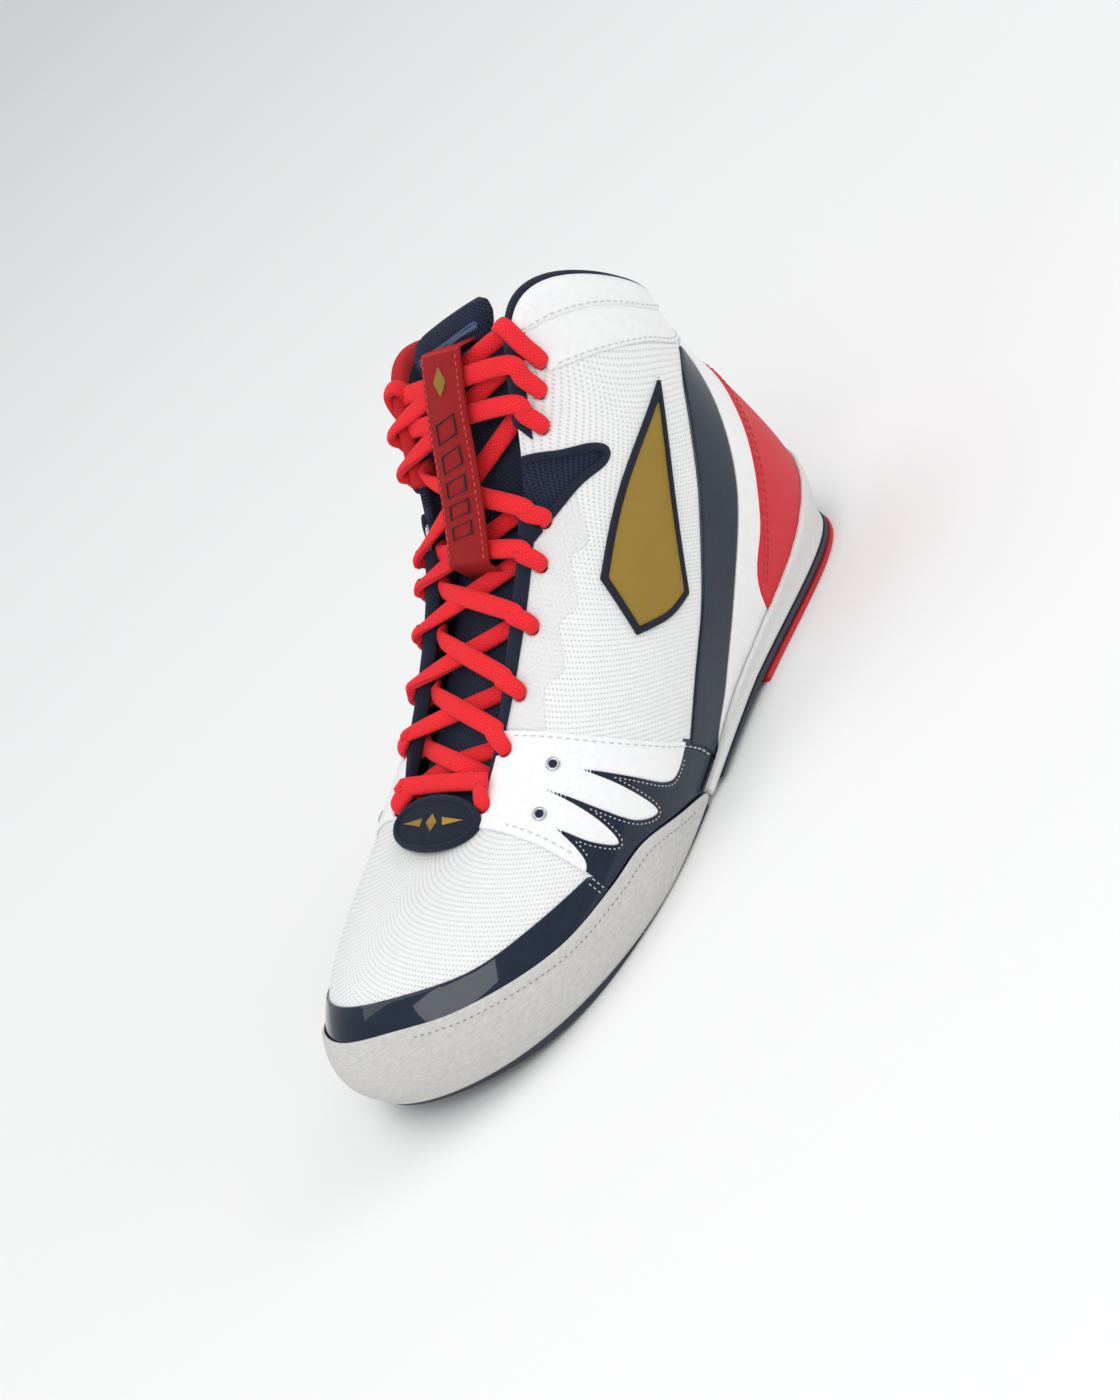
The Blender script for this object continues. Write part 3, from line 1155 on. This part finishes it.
def turned(name, foot, axis, section, material):
    """A small ring turned from a section of (radius, height) about an axis."""
    x = unit(np.cross(axis, (0, 0, 1.0)))
    y = np.cross(axis, x)
    spin = np.linspace(0, 2 * math.pi, 36, endpoint=False)
    circle = x * np.cos(spin)[:, None] + y * np.sin(spin)[:, None]
    points = np.concatenate([foot + circle * radius + axis * height for radius, height in section])
    return closed_piece(name, points, ring_faces(len(section), len(spin), closed=True), material)


for side in SIDES:
    for k, (column, v) in enumerate(VENTS, 1):
        u = on_side(column, side)
        foot, axis = upper(u, v, 1.15), outward(u, v)
        ring = turned("vent_ring_%s_%d" % (side, k), foot, axis, VENT_RING, steel)
        fit(ring, "vent_eyelet_%s_%d" % (side, k), flexes=True)
        fit(turned("vent_hole_%s_%d" % (side, k), foot, axis, VENT_MESH, navy_mesh), flexes=True)


# ---------------------------------------------------------------- stitching
# Lockstitch rows along the seams, in thread of each panel's own colour or a little off it.
# Each stitch is a short rounded bar that dips into the panel at both ends.
def find_on_last(line, side):
    """(u, v) of side-view points on one side of the boot."""
    U, V = np.meshgrid(np.linspace(*SIDES[side], 360), np.linspace(0, 1, 120), indexing="ij")
    flat = lasted(U, V)[..., 1:3].reshape(-1, 2)
    near = np.array([np.argmin(((flat - q) ** 2).sum(1)) for q in line])
    u, v = U.ravel()[near], V.ravel()[near]
    h = 1e-3
    for _ in range(4):
        base = lasted(u, v)[:, 1:3]
        a, b = (lasted(u + h, v)[:, 1:3] - base) / h, (lasted(u, v + h)[:, 1:3] - base) / h
        miss = line - base
        det = a[:, 0] * b[:, 1] - a[:, 1] * b[:, 0]
        det = np.where(np.abs(det) < 1e-3, 1e9, det)
        u = u + np.clip((miss[:, 0] * b[:, 1] - miss[:, 1] * b[:, 0]) / det, -0.05, 0.05)
        v = v + np.clip((a[:, 0] * miss[:, 1] - a[:, 1] * miss[:, 0]) / det, -0.03, 0.03)
        v = np.clip(v, 0, 0.999)
    return u, v


def evenly(points, pitch):
    length = run_length(points)
    at = np.arange(pitch / 2, length[-1], pitch)
    return np.stack([np.interp(at, length, points[:, k]) for k in range(points.shape[1])], 1)


def stitch_nodes():
    """Puts a rounded bar on every point, lying along the point's aim with its back to the point's up."""
    tree = bpy.data.node_groups.new("stitch row", "GeometryNodeTree")
    face = tree.interface
    face.new_socket("Geometry", in_out="INPUT", socket_type="NodeSocketGeometry")
    for label, value in (("Length", 0.002), ("Thickness", 0.0006)):
        face.new_socket(label, in_out="INPUT", socket_type="NodeSocketFloat").default_value = value
    face.new_socket("Thread", in_out="INPUT", socket_type="NodeSocketMaterial")
    face.new_socket("Geometry", in_out="OUTPUT", socket_type="NodeSocketGeometry")

    def node(kind, **values):
        made = tree.nodes.new(kind)
        for label, value in values.items():
            made.inputs[label].default_value = value
        return made

    def vector_attribute(label):
        read = node("GeometryNodeInputNamedAttribute")
        read.data_type = "FLOAT_VECTOR"
        read.inputs["Name"].default_value = label
        return read

    start, end = node("NodeGroupInput"), node("NodeGroupOutput")
    bead = node("GeometryNodeMeshUVSphere", Segments=6, Rings=5, Radius=0.5)
    size = node("ShaderNodeCombineXYZ")
    shape = node("GeometryNodeTransform")
    aim, up = vector_attribute("aim"), vector_attribute("up")
    first = node("FunctionNodeAlignEulerToVector")
    first.axis = "X"
    second = node("FunctionNodeAlignEulerToVector")
    second.axis = "Z"
    second.pivot_axis = "X"
    copy = node("GeometryNodeInstanceOnPoints")
    real = node("GeometryNodeRealizeInstances")
    paint = node("GeometryNodeSetMaterial")
    for source, output, target, socket in (
            (start, "Length", size, "X"),
            (start, "Thickness", size, "Y"),
            (start, "Thickness", size, "Z"),
            (bead, "Mesh", shape, "Geometry"),
            (size, "Vector", shape, "Scale"),
            (start, "Geometry", copy, "Points"),
            (shape, "Geometry", copy, "Instance"),
            (aim, "Attribute", first, "Vector"),
            (first, "Rotation", second, "Rotation"),
            (up, "Attribute", second, "Vector"),
            (second, "Rotation", copy, "Rotation"),
            (copy, "Instances", real, "Geometry"),
            (real, "Geometry", paint, "Geometry"),
            (start, "Thread", paint, "Material"),
            (paint, "Geometry", end, "Geometry")):
        tree.links.new(source.outputs[output], target.inputs[socket])
    return tree


STITCH = stitch_nodes()


def stitches(name, line, up, thread, length=2.0, thickness=0.62, pitch=2.9, **how):
    """A row of stitches along a line of points in the drawing's millimetres, up being the normals there."""
    spaced = evenly(np.concatenate([line, up], 1), pitch)
    at, normal = spaced[:, :3], spaced[:, 3:]
    mesh = bpy.data.meshes.new(name + "_points")
    mesh.from_pydata(in_frame(at).tolist(), [], [])
    for label, values in (("aim", np.gradient(at, axis=0)), ("up", normal)):
        mesh.attributes.new(label, "FLOAT_VECTOR", "POINT").data.foreach_set("vector", values.ravel())
    row = bpy.data.objects.new(name, mesh)
    bpy.context.collection.objects.link(row)
    modifier = row.modifiers.new("stitches", "NODES")
    modifier.node_group = STITCH
    inputs = {"Length": length / 1000, "Thickness": thickness / 1000, "Thread": thread}
    for item in STITCH.interface.items_tree:
        if item.in_out == "INPUT" and item.name in inputs:
            modifier[item.identifier] = inputs[item.name]
    solid = bpy.data.meshes.new_from_object(row.evaluated_get(bpy.context.evaluated_depsgraph_get()))
    row.modifiers.remove(modifier)
    row.data = solid
    row.data.shade_smooth()
    fit(row, **how)


def seam_row(name, line, side, height, thread, **how):
    """A row of stitches along a side-view line, height off the last."""
    u, v = find_on_last(evenly(np.asarray(line, float), 1.5), side)
    stitches(name, upper(u, v, height), outward(u, v), thread, **how)


def thread_of(name, light, dark):
    material, place, _ = finish(name, 0.6, Sheen_Weight=0.2)
    ply = place.make("TexNoise", Scale=3000.0, Detail=2.0)
    return wear(material, ply.blend_colours(dark, light), height=ply, depth=0.0001)


white_thread = thread_of("white thread", (0.74, 0.74, 0.74, 1), (0.56, 0.56, 0.57, 1))
grey_thread = thread_of("grey thread", (0.30, 0.30, 0.29, 1), (0.17, 0.17, 0.17, 1))
red_thread = thread_of("red thread", (0.52, 0.010, 0.02, 1), (0.36, 0.006, 0.012, 1))
bright_thread = thread_of("bright red thread", (0.90, 0.06, 0.07, 1), (0.70, 0.03, 0.04, 1))
blue_thread = thread_of("blue thread", (0.10, 0.16, 0.32, 1), (0.05, 0.08, 0.18, 1))


def moved(line, by):
    """A line moved sideways by a distance, to its left."""
    run = unit(np.gradient(np.asarray(line, float), axis=0))
    return line + np.stack([-run[:, 1], run[:, 0]], 1) * by


def stretch(line, low, high, axis=0):
    """The part of a line between two values of one coordinate."""
    return line[(line[:, axis] > low) & (line[:, axis] < high)]


# short stitches just inside each patent finger, wherever the finger is wide enough to take them
inner = moved(FINGERS, -1.3)
wide_enough = within(FINGERS)(np.concatenate([np.zeros((len(inner), 1)), inner], 1)) > 1.0
fits = wide_enough & (inner[:, 0] > -58) & (inner[:, 0] < -2) & (inner[:, 1] > 18)
starts = np.flatnonzero(np.diff(np.concatenate([[0], fits.astype(int), [0]])))
for side in SIDES:
    for k, (first, last) in enumerate(zip(starts[::2], starts[1::2])):
        if last - first > 4:
            seam_row("finger_stitches_%s_%d" % (side, k), inner[first:last], side, 0.55, white_thread,
                     flexes=True, length=0.9, thickness=0.45, pitch=1.7)

saddle_rear = stretch(SADDLE_REAR, 13, 72, axis=1) + [0.6, 0]
saddle_front = [(VAMP_SEAM + 1.6, z) for z in np.linspace(40, 58, 12)]
heel_front = curve_through([(138, 86), (127, 73), (116, 60), (96, 41), (78, 27)], closed=False)
collar_low = stretch(LOWER, 70, 138) + [0, 1.8]
collar_high = stretch(HIGHER, 70, 134) + [0, 1.8]
rand_line = stretch(RAND_TOP, -134, -12) - [0, 3.4]
for side in SIDES:
    seam_row("saddle_rear_stitches_" + side, saddle_rear, side, 1.2, white_thread, flexes=True)
    seam_row("saddle_front_stitches_" + side, saddle_front, side, 1.2, white_thread, flexes=True)
    for k, back in enumerate((1.5, 3.6)):
        line = [(VAMP_SEAM - back, z) for z in np.linspace(26.5, 32.5, 6)]
        seam_row("band_stitches_%s_%d" % (side, k), line, side, 1.0, white_thread, body="forefoot",
                 length=1.3, thickness=0.45, pitch=1.9)
    for k, back in enumerate((1.6, 3.8)):
        seam_row("heel_panel_stitches_%s_%d" % (side, k), moved(heel_front, back), side, 1.45, red_thread,
                 thickness=0.5)
    seam_row("collar_low_stitches_" + side, collar_low, side, 0.9, white_thread)
    seam_row("collar_high_stitches_" + side, collar_high, side, 1.55, white_thread)
    seam_row("rand_stitches_" + side, rand_line, side, 2.42, grey_thread, flexes=True, length=1.2,
             thickness=0.5, pitch=2.4)

# a zigzag across the foot of the tongue cap
_, along, _, out = throat(6.86)
seam = smooth_through(cap_seam, 3)
seam += out * 0.15 + along * (1.1 * np.where(np.arange(len(seam)) % 2, 1, -1))[:, None]
stitches("cap_overlock", seam, np.broadcast_to(out, seam.shape), blue_thread, length=2.0, thickness=0.5,
         pitch=1.5, body="tongue_top")
t = np.linspace(0.05, 0.95, 60)
for name, edge in (("left", -7.2), ("right", 7.2)):
    stitches("strap_stitches_" + name, on_strap(t, edge), strap_frame(t)[3], bright_thread, length=1.6,
             thickness=0.5, pitch=2.4)


# ---------------------------------------------------------------- studio
# A pale sweep under a large soft box on each side and one overhead. The camera looks down on the outer
# side of the boot from in front, turned so that the toe points to the lower left.
camera = bpy.data.objects.new("camera", bpy.data.cameras.new("camera"))
camera.location = (0.8165, -0.52618, 0.51077)
camera.rotation_euler = [math.radians(a) for a in (57.4791, 36.766, 36.1283)]
camera.data.lens = 81.26
camera.data.sensor_width = 36
bpy.context.collection.objects.link(camera)
bpy.context.scene.camera = camera

world = bpy.data.worlds.new("studio")
world.use_nodes = True
world.node_tree.nodes["Background"].inputs["Color"].default_value = (0.93, 0.94, 0.96, 1)
world.node_tree.nodes["Background"].inputs["Strength"].default_value = 0.62
bpy.context.scene.world = world
bpy.context.scene.view_settings.view_transform = "Standard"


def soft_box(name, place, size, watts):
    """A rectangular area light aimed at the boot."""
    lamp = bpy.data.lights.new(name, "AREA")
    lamp.shape = "RECTANGLE"
    lamp.size, lamp.size_y = size
    lamp.energy = watts
    holder = bpy.data.objects.new(name, lamp)
    holder.location = place
    holder.rotation_euler = (-holder.location).to_track_quat("-Z", "Y").to_euler()
    bpy.context.collection.objects.link(holder)


soft_box("key box", (1.1, -0.9, 1.5), (1.2, 1.2), 13)
soft_box("side box", (0.9, 1.3, 0.9), (0.9, 1.4), 7)
soft_box("top box", (-0.5, -0.2, 1.9), (1.4, 1.4), 8)
soft_box("toe strip", (0.2, -1.7, 0.7), (1.4, 0.5), 4)

backdrop, place, _ = finish("pale paper", 0.9)
speck = place.make("TexNoise", Scale=9.0, Detail=2.0)
wear(backdrop, speck.blend_colours((0.86, 0.86, 0.855, 1), (0.88, 0.88, 0.875, 1)))
floor_mesh = bpy.data.meshes.new("floor")
floor_mesh.from_pydata([(-6, -6, 0), (6, -6, 0), (6, 6, 0), (-6, 6, 0)], [], [(0, 1, 2, 3)])
floor_mesh.materials.append(backdrop)
floor = bpy.data.objects.new("floor", floor_mesh)
bpy.context.collection.objects.link(floor)
